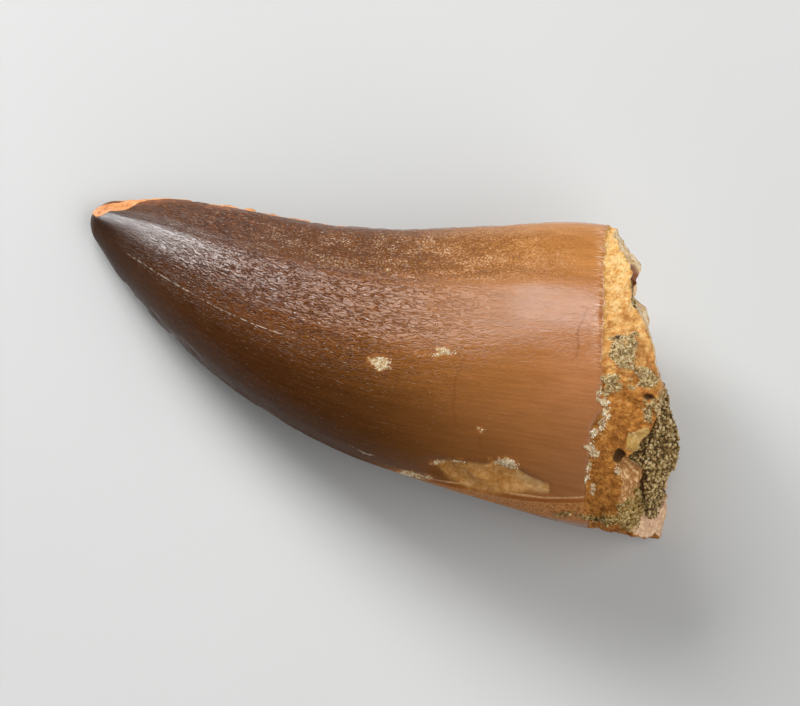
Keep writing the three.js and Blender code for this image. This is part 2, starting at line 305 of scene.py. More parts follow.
# Rings and columns of the meshes. The tip's rings are given as shares of its rounding.
TIP_RINGS = (0.03, 0.1, 0.2, 0.35, 0.5, 0.65, 0.8, 0.95)
LABIAL_COLUMNS = 290
LINGUAL_COLUMNS = 190
CROWN_RINGS = 132
COLLAR_RINGS = 34
FRACTURE_RINGS = 12
CAVITY_RINGS = 10
SEDIMENT_COLUMNS = 300
SEDIMENT_EDGE_RINGS = 10
SEDIMENT_FACE_RINGS = 64


# ---- points of the tooth -------------------------------------------------------------------

_rows = np.linspace(0, len(STATIONS) - 1, 4001)
_steps = np.linalg.norm(np.diff(spline(STATIONS[:, :3], _rows), axis=0), axis=1)
_reached = np.concatenate([[0], np.cumsum(_steps)])


class Section:
    """The tooth's sections at some distances: their centres, directions and sizes."""

    def __init__(self, distance):
        rows = np.interp(distance, _reached, _rows)
        values = spline(STATIONS, rows)
        ahead, behind = (spline(STATIONS[:, :3], rows + side) for side in (0.002, -0.002))
        tangent = ahead - behind
        self.tangent = tangent / np.linalg.norm(tangent, axis=-1, keepdims=True)
        distal = np.array([0.0, 1.0, 0.0]) - self.tangent * self.tangent[..., 1:2]
        self.distal = distal / np.linalg.norm(distal, axis=-1, keepdims=True)
        self.labial = np.cross(self.tangent, self.distal)
        self.centre = values[..., :3]
        self.width, self.up, self.down = np.moveaxis(values[..., 3:], -1, 0)
        self.closing = np.sqrt(1 - np.clip(1 - distance / TIP_ROUNDING, 0, 1) ** 2)

    def outline(self, angle):
        """How far distal and how far labial of the centre the bare outline is."""
        cosine, sine = np.cos(np.radians(angle)), np.sin(np.radians(angle))
        power = np.where(sine >= 0, LABIAL_POWER, LINGUAL_POWER)
        depth = np.where(sine >= 0, self.up, self.down)
        return np.stack([self.width * self.closing * signed_power(cosine, 2 / power),
                         depth * self.closing * signed_power(sine, 2 / power)], axis=-1)

    def point(self, outline, height):
        """A point of the section, given by its place on the outline and a height over it."""
        reach = np.maximum(np.linalg.norm(outline, axis=-1), TIP_ROUNDING / 4)
        x, y = np.moveaxis(outline * (1 + height / reach)[..., None], -1, 0)
        return self.centre + self.distal * x[..., None] + self.labial * y[..., None]


def angle_between(a, b):
    return np.mod(a - b + 180, 360) - 180


class Arc:
    """Millimetres round the bare outline, from the middle of the labial face."""

    STEP = 0.5
    DISTANCES = np.arange(0.0, 52.5, STEP)
    ANGLES = np.arange(-90.0, 271.0)

    def __init__(self):
        distance, angle = np.meshgrid(self.DISTANCES, self.ANGLES, indexing="ij")
        outline = Section(distance).outline(angle)
        steps = np.linalg.norm(np.diff(outline, axis=1), axis=-1)
        lengths = np.concatenate([np.zeros((len(steps), 1)), np.cumsum(steps, axis=1)], axis=1)
        self.lengths = lengths - lengths[:, self.ANGLES == 90]

    def __call__(self, distance, angle):
        row = np.clip(distance / self.STEP, 0, len(self.DISTANCES) - 1.001)
        column = np.clip(np.mod(angle - self.ANGLES[0], 360), 0, len(self.ANGLES) - 1.001)
        i, j = row.astype(int), column.astype(int)
        lower, upper = (between(self.lengths[k, j], self.lengths[k, j + 1], column - j)
                        for k in (i, i + 1))
        return between(lower, upper, row - i)


arc_at = Arc()


def unrolled(distance, angle):
    """Places on the surface, laid flat, as millimetres along the tooth, round it, and 0."""
    arc = arc_at(distance, angle)
    return np.stack([distance + 0 * arc, arc, 0 * arc], axis=-1)


def grain_coordinates(distance, outline, width):
    """Coordinates for grain that runs lengthwise and draws together towards the tip."""
    spread = np.sqrt(STATIONS[-1, 3] / np.maximum(width, 1))[..., None]
    return np.concatenate([distance[..., None], outline * spread], axis=-1)


def inside_polygon(corners, places):
    """How far inside a polygon places are, in millimetres, and less than 0 outside it."""
    corners = unrolled(*np.transpose(corners))
    nearest = np.full(places.shape[:-1], np.inf)
    inside = np.zeros(places.shape[:-1], bool)
    for a, b in zip(corners, np.roll(corners, -1, axis=0)):
        edge, offset = b - a, places - a
        share = np.clip(offset @ edge / (edge @ edge), 0, 1)
        nearest = np.minimum(nearest, np.linalg.norm(offset - share[..., None] * edge, axis=-1))
        crosses = (a[1] > places[..., 1]) != (b[1] > places[..., 1])
        with np.errstate(divide="ignore", invalid="ignore"):
            reach = offset[..., 0] < edge[0] * offset[..., 1] / edge[1]
        inside ^= crosses & reach
    return np.where(inside, nearest, -nearest)


def inside_spots(spots, places):
    """How far inside the nearest of some oval spots places are, in millimetres."""
    depth = np.full(places.shape[:-1], OUTSIDE)
    for distance, angle, along, around in spots:
        offset = (places - unrolled(distance, angle)) / (along, around, 1)
        depth = np.maximum(depth, (1 - np.linalg.norm(offset, axis=-1)) * min(along, around))
    return depth


def bare_dentine(distance, places):
    """How far inside the chipped and worn places of the enamel, in millimetres."""
    depth = [inside_polygon(corners, places) for corners in BARE_PATCHES.values()]
    to_edge = np.abs(places[..., 1] - arc_at(distance, 0.0))
    depth.append(along_list(WORN_EDGE, distance) - to_edge)
    return np.max(depth, axis=0)


def around_circle(angle, radius=9.0):
    """Points on a circle, to read a noise field all round the tooth without a seam."""
    turn = np.radians(angle)
    return np.stack([0 * turn, radius * np.cos(turn), radius * np.sin(turn)], axis=-1)


def enamel_line(angle):
    return around_list(ENAMEL_LINE, angle) + ENAMEL_FRAYING(around_circle(angle))


def broken_rim(angle):
    return around_list(BROKEN_RIM, angle) + RIM_NICKS(around_circle(angle))


def inner_rim(angle):
    return broken_rim(angle) + around_list(RIM_BEVEL, angle)


def place_facts(distance, angle, past_flank_line):
    """What the relief and the materials need to know about places on the tooth's outside."""
    places = unrolled(distance, angle)
    wrinkled = along_list(WRINKLED_ALONG, distance) * around_list(WRINKLED_AROUND, angle)
    on_ridge = fade(np.abs(past_flank_line + RIDGE["offset"]), RIDGE["half_width"], 0.3)
    polish = RIDGE["smoothed"] * on_ridge * fade(distance, 17, 9)
    return dict(
        distance=distance,
        arc=places[..., 1],
        side=np.cos(np.radians(angle)),
        past_enamel=distance - enamel_line(angle),
        past_mesial=places[..., 1] - arc_at(distance, along_list(MESIAL_EDGE, distance)),
        wrinkled=wrinkled * (1 - polish),
        speckled=along_list(SPECKLED_ALONG, distance) * around_list(SPECKLED_AROUND, angle),
        bare=bare_dentine(distance, places),
        crust=inside_spots(CRUST_PATCHES, places) + CRUST_FRAYING(places),
        cream=inside_spots(CREAM_GRAINS_AND_GLINT_SPECKS, places),
        beads=inside_spots(BEADS, places),
        shard=inside_polygon(PALE_SHARD, places),
        pits=inside_spots(PITS, places))


def edge_height(place):
    """How high the cutting edges stand, with nicks in them."""
    distance = place["distance"]
    nicks = 1 - np.clip(EDGE_NICKS(place["grain"]), 0, EDGE_NICKS.height) / EDGE_HEIGHT
    mesial_nicks = between(nicks, 1, fade(distance, *MESIAL_NICKS_END))
    past_distal = place["arc"] - arc_at(distance, 0)
    edges = (nicks * np.exp(-np.abs(past_distal) / EDGE_WIDTH)
             + mesial_nicks * np.exp(-np.abs(place["past_mesial"]) / EDGE_WIDTH))
    return EDGE_HEIGHT * smooth(distance / EDGE_START) * edges


def form_height(distance, angle, per_degree):
    """How high the swellings and crusts stand, and how deep the hollows and chips are."""
    height = 0
    for at, middle, along, around, peak in FORMS.values():
        u = (distance - at) / along
        v = angle_between(angle, middle) * per_degree / around
        height += peak * np.clip(1 - u * u - v * v, 0, 1) ** 2
    return height


def flank_depth(distance, past_flank_line):
    """How far the flat flank lies under the round outline."""
    rounding = along_list(FLANK_ROUNDING, distance)
    across = (past_flank_line + np.hypot(past_flank_line, rounding)) / 2 / FLANK_WIDTH
    return FLANK_DEPTH * smooth(distance / FLANK_START) * across * np.exp(1 - across)


def enamel_height(place):
    """The enamel's wrinkles, and the step down where it has chipped away."""
    grain, wrinkled = place["grain"], place["wrinkled"]
    bent = grain + WANDER(grain)[..., None] * np.array([0, 1, 1])
    height = between(0.3, 1.0, wrinkled) * UNDULATION(bent)
    height += wrinkled * (WRINKLES.height - 2 * np.abs(WRINKLES(bent)))
    return height - ENAMEL_STEP * fade(place["bare"], -0.2, 0.5) * fade(place["distance"], 20, 30)


def rough_height(place, outline_point, on_enamel):
    """The roughness of bare dentine, the pits in it, and the lumps of the crust."""
    bare = np.maximum(1 - on_enamel, fade(place["bare"], 0, 0.4))
    height = bare * COLLAR_ROUGHNESS(outline_point) - PIT_DEPTH * fade(place["pits"], 0, 0.3)
    lumps = 0.05 + np.abs(CRUST_ROUGHNESS(outline_point))
    return height + fade(place["crust"], -0.1, 0.3) * lumps


def outer_point(distance, angle):
    """Points of the tooth's outside, and what the materials need to know about them."""
    section = Section(distance)
    outline = section.outline(angle)
    per_degree = np.radians(section.width)          # millimetres, near enough
    past_flank_line = angle_between(along_list(FLANK_LINE, distance), angle) * per_degree
    place = place_facts(distance, angle, past_flank_line)
    place["grain"] = grain_coordinates(distance, outline, section.width)

    on_enamel = fade(place["past_enamel"], 0.15, -0.05)
    height = edge_height(place)
    height = between(height * COLLAR_EDGE - ENAMEL_STEP, height, on_enamel)
    height += form_height(distance, angle, per_degree) - flank_depth(distance, past_flank_line)
    height += on_enamel * enamel_height(place)
    height += rough_height(place, section.point(outline, 0 * height), on_enamel)
    return section.point(outline, height * np.clip(np.linalg.norm(outline, axis=-1), 0, 1)), place


def cavity_point(distance, angle, bulge=0.0):
    """A point of the pulp cavity's wall."""
    section = Section(distance)
    outline = section.outline(angle)
    depth = np.clip((distance - CAVITY_FLOOR) / (CAVITY_FULL - CAVITY_FLOOR), 0, 1)
    opening = np.sqrt(1 - (1 - depth) ** 2)
    reach = np.linalg.norm(outline, axis=-1)
    return section.point(outline, opening * (reach - WALL) + bulge - reach)


# ---- meshes --------------------------------------------------------------------------------

def laid(points):
    """Points of the tooth's own frame, in millimetres, as it lies, in metres."""
    turned = points @ np.array(LIE_TURN).T + np.array(LIE_SHIFT)
    return turned * MM


def add_object(name, data):
    new = bpy.data.objects.new(name, data)
    bpy.context.scene.collection.objects.link(new)
    return new


def make_piece(name, points, faces, material, attributes=()):
    """A mesh object on the root body, from points in millimetres."""
    mesh = bpy.data.meshes.new(name)
    mesh.from_pydata(laid(points), [], faces)
    for key, values in dict(attributes).items():
        is_vector = values.size > len(values)
        kind, field = ("FLOAT_VECTOR", "vector") if is_vector else ("FLOAT", "value")
        attribute = mesh.attributes.new(key, kind, "POINT")
        attribute.data.foreach_set(field, values.astype(np.float32).ravel())
    mesh.polygons.foreach_set("use_smooth", [True] * len(mesh.polygons))
    mesh.materials.append(material)
    mesh.validate()
    piece = add_object(name, mesh)
    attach(piece, "root")
    return piece


def make_closed_piece(name, grid, poles, material, attributes=()):
    """A closed surface through rings of points and a pole beyond the first and the last ring."""
    rings, columns = grid.shape[:2]
    count = rings * columns
    here = np.arange(count).reshape(rings, columns)
    beside = np.roll(here, -1, axis=1)
    start = np.stack([0 * here[0] + count, beside[0], here[0]], axis=-1)
    middle = np.stack([here[:-1], beside[:-1], beside[1:], here[1:]], axis=-1).reshape(-1, 4)
    end = np.stack([0 * here[0] + count + 1, here[-1], beside[-1]], axis=-1)
    faces = [*start.tolist(), *middle.tolist(), *end.tolist()]
    flat = {}
    for key, values in dict(attributes).items():
        values = values.reshape(count, -1)
        flat[key] = np.concatenate([values, values[:1], values[-1:]])
    points = np.concatenate([grid.reshape(-1, 3), poles])
    return make_piece(name, points, faces, material, flat)


def tooth_rings():
    """Distances and angles of the outer rings, from the tip to the broken rim."""
    shares = np.concatenate([np.arange(LABIAL_COLUMNS) / LABIAL_COLUMNS,
                             1 + np.arange(LINGUAL_COLUMNS) / LINGUAL_COLUMNS])

    def ring(distance_at):
        angle = 180 * shares
        for _ in range(3):
            mesial = along_list(MESIAL_EDGE, distance_at(angle))
            angle = np.where(shares <= 1, shares * mesial,
                             mesial + (shares - 1) * (360 - mesial))
        return distance_at(angle), angle

    rings = [ring(lambda angle: share * TIP_ROUNDING + 0 * angle) for share in TIP_RINGS]
    for share in np.linspace(0, 1, CROWN_RINGS):
        rings.append(ring(lambda angle: between(TIP_ROUNDING, enamel_line(angle), share)))
    for share in np.linspace(0.02, 1, COLLAR_RINGS):
        rings.append(ring(lambda angle: between(enamel_line(angle), broken_rim(angle), share)))
    return [np.array(values) for values in zip(*rings)]


def inner_rings(outer_rim, angle):
    """Rings over the broken wall and down the cavity: points, distances and depths inside."""
    rim = inner_rim(angle)
    wall = cavity_point(rim, angle)
    tangent = Section(rim).tangent
    rings = []
    for share in np.linspace(0, 1, FRACTURE_RINGS + 1)[1:]:
        ring = between(outer_rim, wall, share)
        relief = FRACTURE(ring) * math.sin(math.pi * share) ** 0.5
        rings.append((ring + tangent * relief[:, None], rim, share * WALL + 0 * rim))
    for share in np.linspace(0, 1, CAVITY_RINGS + 1)[1:]:
        distance = between(rim, CAVITY_FLOOR + 0.1, share ** 2)
        rings.append((cavity_point(distance, angle), distance, WALL + rim - distance))
    return [np.array(values) for values in zip(*rings)]


def build_tooth(material):
    """The whole tooth as one closed surface, from its tip over the rim to the cavity's floor."""
    distance, angle = tooth_rings()
    outer, place = outer_point(distance, angle)
    rim_angle = angle[-1]
    inner, deep, broken = inner_rings(outer[-1], rim_angle)
    for key in ("arc", "grain", "side", "wrinkled", "speckled", "past_mesial"):
        place[key] = np.concatenate([place[key], np.repeat(place[key][-1:], len(deep), axis=0)])
    for key in ("bare", "crust", "cream", "beads", "shard", "pits"):
        place[key] = np.concatenate([place[key], np.full(deep.shape, OUTSIDE)])
    place["distance"] = np.concatenate([distance, deep])
    place["past_enamel"] = np.concatenate([place["past_enamel"], deep - enamel_line(rim_angle)])
    place["broken"] = np.concatenate([distance - distance[-1:], broken])
    # Where the painted shade, partly a real stain, begins inside the broken wall.
    place["stain_and_shade"] = around_list(RIM_STAIN_AND_SHADE, rim_angle) + 0 * place["broken"]
    over_rim = around_list(RIM_CRUST, rim_angle) + RIM_CRUST_FRAYING(around_circle(rim_angle))
    over_rim = over_rim + 1.5 * np.minimum(place["broken"], 0)
    place["crust"] = np.maximum(place["crust"], over_rim)

    points = np.concatenate([outer, inner])
    poles = Section(np.array([0, CAVITY_FLOOR])).centre
    piece = make_closed_piece("tooth_surface", points, poles, material, place)
    return piece, points, place


def sediment_rings():
    """Rings of the sediment, from inside the cavity over its uneven broken face, and how free
    each ring is of the cavity's wall, from 0 to 1."""
    angle = np.arange(SEDIMENT_COLUMNS) * 360 / SEDIMENT_COLUMNS
    rim = inner_rim(angle)
    edge = np.maximum(around_list(PLUG_EDGE, angle), rim + LEAST_SEDIMENT)
    sunk = around_list(SUNK_SEDIMENT, angle)
    rim, edge = rim - sunk, edge - sunk
    rings = [cavity_point(rim - depth, angle, SEDIMENT_GAP) for depth in SUNK_RINGS]
    free = [0.0] * len(rings)
    for share in np.linspace(0.1, 1, SEDIMENT_EDGE_RINGS):
        distance = between(rim, edge, share)
        bulge = np.clip(distance - rim, 0, SEDIMENT_BULGE)
        rings.append(cavity_point(distance, angle, SEDIMENT_GAP + bulge))
        free.append(share)
    end = Section(PLUG_CENTRE)
    edge_ring = rings[-1]
    for inset in np.linspace(0.02, 0.99, SEDIMENT_FACE_RINGS):
        ring = between(edge_ring, end.centre, inset)
        y = (ring - end.centre) @ end.distal - PLUG_LUMP["y"]
        z = (ring - end.centre) @ end.labial - PLUG_LUMP["z"]
        height = PLUG_LUMP["out"] * np.exp(-(y * y + z * z) / PLUG_LUMP["reach"] ** 2)
        rings.append(ring + end.tangent * (height * min(inset * 3, 1))[:, None])
        free.append(1.0)
    return np.array(rings), np.array(free)[:, None]


def build_sediment(material):
    """The sediment that fills the root as one closed surface, and the grid of its points."""
    points, free = sediment_rings()
    deep = Section(CAVITY_FULL).centre
    out = points - deep
    out /= np.linalg.norm(out, axis=-1, keepdims=True)
    height = SEDIMENT_LUMPS(points) - np.abs(SEDIMENT_GRAIN(points))
    points = points + out * (height * free)[..., None]
    poles = [deep, points[-1].mean(axis=0)]
    return make_closed_piece("sediment", points, poles, material), points


def pick_places(grid, weight, count, random):
    """Places by chance on a grid of points, closer together where the weight is greater."""
    weight = (weight * face_areas(grid))[:-1].ravel()
    chosen = random.choice(len(weight), count, p=weight / weight.sum())
    row, column = np.divmod(chosen, grid.shape[1])
    beside = (column + 1) % grid.shape[1]
    along, around = random.uniform(0, 1, (2, count, 1))
    return between(between(grid[row, column], grid[row, beside], around),
                   between(grid[row + 1, column], grid[row + 1, beside], around), along)


def face_areas(grid):
    """How much surface there is beside each point of a grid of points."""
    along = np.linalg.norm(np.gradient(grid, axis=0), axis=-1)
    around = np.linalg.norm(np.roll(grid, -1, axis=1) - grid, axis=-1)
    return along * around


def scatter_grains(name, places, sizes, random, material):
    """Uneven grains of sand as one mesh, with their middles at the places."""
    model = bmesh.new()
    bmesh.ops.create_icosphere(model, subdivisions=1, radius=1.0)
    corners = np.array([vertex.co for vertex in model.verts])
    faces = np.array([[vertex.index for vertex in face.verts] for face in model.faces])
    model.free()
    count = len(places)
    shape = corners * random.uniform(0.7, 1.25, (count, len(corners), 1))
    shape = shape * random.uniform(0.6, 1.2, (count, 1, 3)) * sizes[:, None, None]
    turns = [Euler(turn).to_matrix() for turn in random.uniform(0, math.tau, (count, 3))]
    shape = np.einsum("nij,nkj->nki", np.array(turns), shape) + places[:, None]
    all_faces = faces + len(corners) * np.arange(count)[:, None, None]
    tone = np.repeat(random.uniform(0.2, 1, count), len(corners))
    return make_piece(name, shape.reshape(-1, 3), all_faces.reshape(-1, 3).tolist(), material,
                      dict(tone=tone))


# ---- materials -----------------------------------------------------------------------------

def paint(red, green, blue):
    """A colour given as it shows on a screen, 0 to 255, as the shader needs it."""
    shown = np.array([red, green, blue]) / 255
    linear = np.where(shown <= 0.04045, shown / 12.92, ((shown + 0.055) / 1.055) ** 2.4)
    return (*linear.tolist(), 1.0)


class Value:
    """A node's output, with which sums are written as they are with a number."""

    def __init__(self, nodes, socket):
        self.nodes, self.socket = nodes, socket

    def __add__(self, other):
        return self.nodes.math("ADD", self, other)

    def __sub__(self, other):
        return self.nodes.math("SUBTRACT", self, other)

    def __rsub__(self, other):
        return self.nodes.math("SUBTRACT", other, self)

    def __mul__(self, other):
        return self.nodes.math("MULTIPLY", self, other)

    def __abs__(self):
        return self.nodes.math("ABSOLUTE", self)

    def fade(self, low, high, start=0, end=1):
        """start below low, end above high, and smooth between."""
        return self.nodes.get("MapRange", self, low, high, start, end,
                              interpolation_type="SMOOTHSTEP")


class Nodes:
    """Adds nodes to one material. Their inputs are numbers, colours, vectors or a Value."""

    def __init__(self, name, **constants):
        self.material = bpy.data.materials.new(name)
        self.material.use_nodes = True
        self.tree = self.material.node_tree
        self.shader = self.tree.nodes["Principled BSDF"]
        for key, value in constants.items():
            self.put(self.shader.inputs[key.replace("_", " ")], value)

    def put(self, socket, value):
        if isinstance(value, Value):
            self.tree.links.new(value.socket, socket)
        else:
            socket.default_value = value

    def get(self, kind, *values, inputs=(), output=0, **settings):
        """An output of a new node, from its settings, its first inputs and some others."""
        node = self.tree.nodes.new("ShaderNode" + kind)
        for key, value in settings.items():
            setattr(node, key, value)
        for key, value in (*enumerate(values), *dict(inputs).items()):
            self.put(node.inputs[key], value)
        return Value(self, node.outputs[output])

    def math(self, operation, *values, clamp=False):
        return self.get("Math", *values, operation=operation, use_clamp=clamp)

    def most(self, *values):
        return functools.reduce(lambda a, b: self.math("MAXIMUM", a, b), values)

    def vector(self, operation, *values):
        output = "Value" if operation in ("LENGTH", "DOT_PRODUCT") else "Vector"
        return self.get("VectorMath", *values, output=output, operation=operation)

    def scale(self, vector, factor):
        return self.get("VectorMath", vector, inputs=dict(Scale=factor), operation="SCALE")

    def attribute(self, name, output="Fac"):
        return self.get("Attribute", output=output, attribute_name=name)

    def place(self):
        """The place in the object, in millimetres."""
        return self.scale(self.get("TexCoord", output="Object"), 1 / MM)

    def noise(self, place, pitch, detail=2, stretch=1, seed=0):
        """Noise from about 0 to 1 that changes over a pitch, and along X over stretch times it."""
        place = self.vector("MULTIPLY", place, (1 / (pitch * stretch), 1 / pitch, 1 / pitch))
        place = self.vector("ADD", place, (seed, seed, seed))
        return self.get("TexNoise", place, inputs=dict(Scale=1, Detail=detail))

    def bent(self, place, scale, reach):
        """A place moved by noise, by up to about half the reach in each direction."""
        shift = self.get("TexNoise", place, inputs=dict(Scale=scale), output="Color")
        shift = self.vector("SUBTRACT", shift, (0.5, 0.5, 0.5))
        return self.vector("MULTIPLY_ADD", shift, reach, place)

    def mix(self, share, a, b, blend="MIX"):
        return self.get("Mix", inputs={0: share, 6: a, 7: b}, output=2, data_type="RGBA",
                        blend_type=blend)

    def layered(self, colour, *layers):
        """A colour under others, each given as how much of it shows and the colour itself."""
        for share, over in layers:
            colour = self.mix(share, colour, over)
        return colour

    def flecked(self, colour, pattern, where, flecks):
        """A colour with flecks over it, laid by a pattern."""
        return self.layered(colour, *((pattern.fade(low, high, 0, share) * where, fleck)
                                      for low, high, share, fleck in flecks))

    def ramp(self, value, stops):
        """A colour by value, through [value, red, green, blue] stops."""
        low, high = stops[0][0], stops[-1][0]
        colour = self.get("ValToRGB", self.get("MapRange", value, low, high))
        elements = colour.socket.node.color_ramp.elements
        while len(elements) < len(stops):
            elements.new(0.5)
        for element, (at, *shade) in zip(elements, stops):
            element.position = (at - low) / (high - low)
            element.color = paint(*shade)
        return colour

    def near_line(self, place, corners, width):
        """1 on a broken line on the unrolled surface, and 0 a width away from it."""
        places = unrolled(*np.transpose(corners)).tolist()
        nearest = FAR
        for a, b in itertools.pairwise(map(Vector, places)):
            offset = self.vector("SUBTRACT", place, a)
            share = self.vector("DOT_PRODUCT", offset, (b - a) / (b - a).length_squared)
            share = self.math("MULTIPLY", share, 1, clamp=True)
            step = self.vector("SUBTRACT", offset, self.scale(b - a, share))
            nearest = self.math("MINIMUM", nearest, self.vector("LENGTH", step))
        return nearest.fade(width, 0)

    def finish(self, colour, roughness, height):
        """Sets the colour, roughness and fine height, which is in millimetres."""
        bump = self.get("Bump", inputs=dict(Height=height * MM, Distance=1))
        for key, value in (("Base Color", colour), ("Roughness", roughness), ("Normal", bump)):
            self.put(self.shader.inputs[key], value)
        return self.material


# Enamel down the middle of the labial face, as [distance, red, green, blue].
ENAMEL_COLOURS = [
    [0, 46, 25, 17], [6, 72, 40, 21], [13, 86, 48, 19], [20, 100, 55, 16], [27, 124, 75, 28],
    [33, 146, 92, 44], [39, 158, 101, 55], [43.5, 168, 110, 68],
]
ENAMEL_LOW = paint(62, 34, 14)        # towards the mesial edge
ENAMEL_GOLD = paint(176, 118, 60)     # towards the distal edge, near the base
ENAMEL_BRONZE = paint(88, 48, 18)     # towards the distal edge, near the tip
WORN_ORANGE = paint(158, 88, 34)      # along the distal edge
CLOUD_BROWN = paint(132, 78, 38)      # in clouds near the base
HALO_ORANGE = paint(172, 108, 54)     # round the cream grains
CRACK_BROWN = paint(112, 60, 24)
# White of the scratches, and of the painted glints on the wrinkles.
SCRATCH_AND_GLINT_WHITE = paint(206, 188, 168)
PIT_BROWN_AND_HOLE_SHADE = paint(72, 46, 22)
FRACTURE_PINK = paint(240, 204, 176)  # on the lingual side of the broken wall
# By which colours are multiplied: painted shade, over a deeper tone, in the enamel's grooves; a
# painted highlight on its crests; and painted shade, partly a real stain, on the broken wall.
VALLEY_SHADE_TINT = (0.47, 0.3, 0.17, 1)
CREST_HIGHLIGHT_TINT = (1.08, 1.02, 0.95, 1)
RIM_STAIN_AND_SHADE_TINT = (0.34, 0.19, 0.17, 1)
# Mottled colours, by a mottling from about 0.25 to 0.75.
DENTINE_COLOURS = [
    [0.25, 134, 80, 30], [0.42, 176, 114, 50], [0.56, 206, 152, 82], [0.72, 228, 190, 130],
]
CHIP_COLOURS = [[0.3, 156, 102, 44], [0.5, 186, 132, 72], [0.7, 206, 162, 108]]
TIP_COLOURS = [[0.3, 170, 100, 48], [0.5, 194, 130, 78], [0.7, 214, 162, 114]]
UNDER_COLOURS = [[0.3, 112, 66, 28], [0.45, 168, 106, 50], [0.65, 196, 134, 74]]
SHARD_COLOURS = [[0.3, 176, 136, 72], [0.7, 224, 198, 144]]
FRACTURE_COLOURS = [
    [0.3, 164, 112, 64], [0.42, 202, 154, 102], [0.56, 230, 192, 142], [0.72, 246, 222, 186],
]
CRUMB_COLOURS = [
    [0.25, 136, 92, 48], [0.42, 180, 146, 100], [0.58, 208, 186, 150], [0.75, 234, 222, 198],
]
SEDIMENT_COLOURS = [
    [0.3, 68, 46, 12], [0.42, 120, 90, 38], [0.56, 168, 136, 80], [0.75, 210, 184, 136],
]
CRUST_COLOURS = [
    [0.3, 88, 62, 24], [0.42, 140, 108, 58], [0.56, 176, 148, 100], [0.75, 214, 194, 154],
]
# Flecks, as the pattern's values where each starts and is full, its greatest share and its colour.
FLANK_LINES = [[0.54, 0.36, 0.75, paint(54, 28, 12)], [0.54, 0.68, 0.4, paint(150, 96, 58)]]
DARK_GRIT = [0.54, 0.36, 0.65, paint(88, 50, 16)]
PALE_GRIT = [0.56, 0.74, 0.5, paint(222, 196, 166)]
GRIT_TAN = paint(172, 124, 74)
COMB = [[0.5, 0.64, 1, paint(226, 188, 158)], [0.42, 0.3, 1, paint(140, 78, 46)]]
# The painted highlight line along the crest of the mesial edge near the base, and the painted
# shadow line beneath it, as place, half width, greatest share and colour, and how far the first
# lies on the labial side of the edge itself.
EDGE_HIGHLIGHT_AND_SHADOW_LINES = [[0, 0.09, 0.6, paint(206, 160, 112)], [0.2, 0.2, 0.8, paint(116, 58, 16)]]
EDGE_HIGHLIGHT_OFFSET = 0.35
FLOOR_COLOURS = paint(190, 188, 185), paint(196, 194, 191)


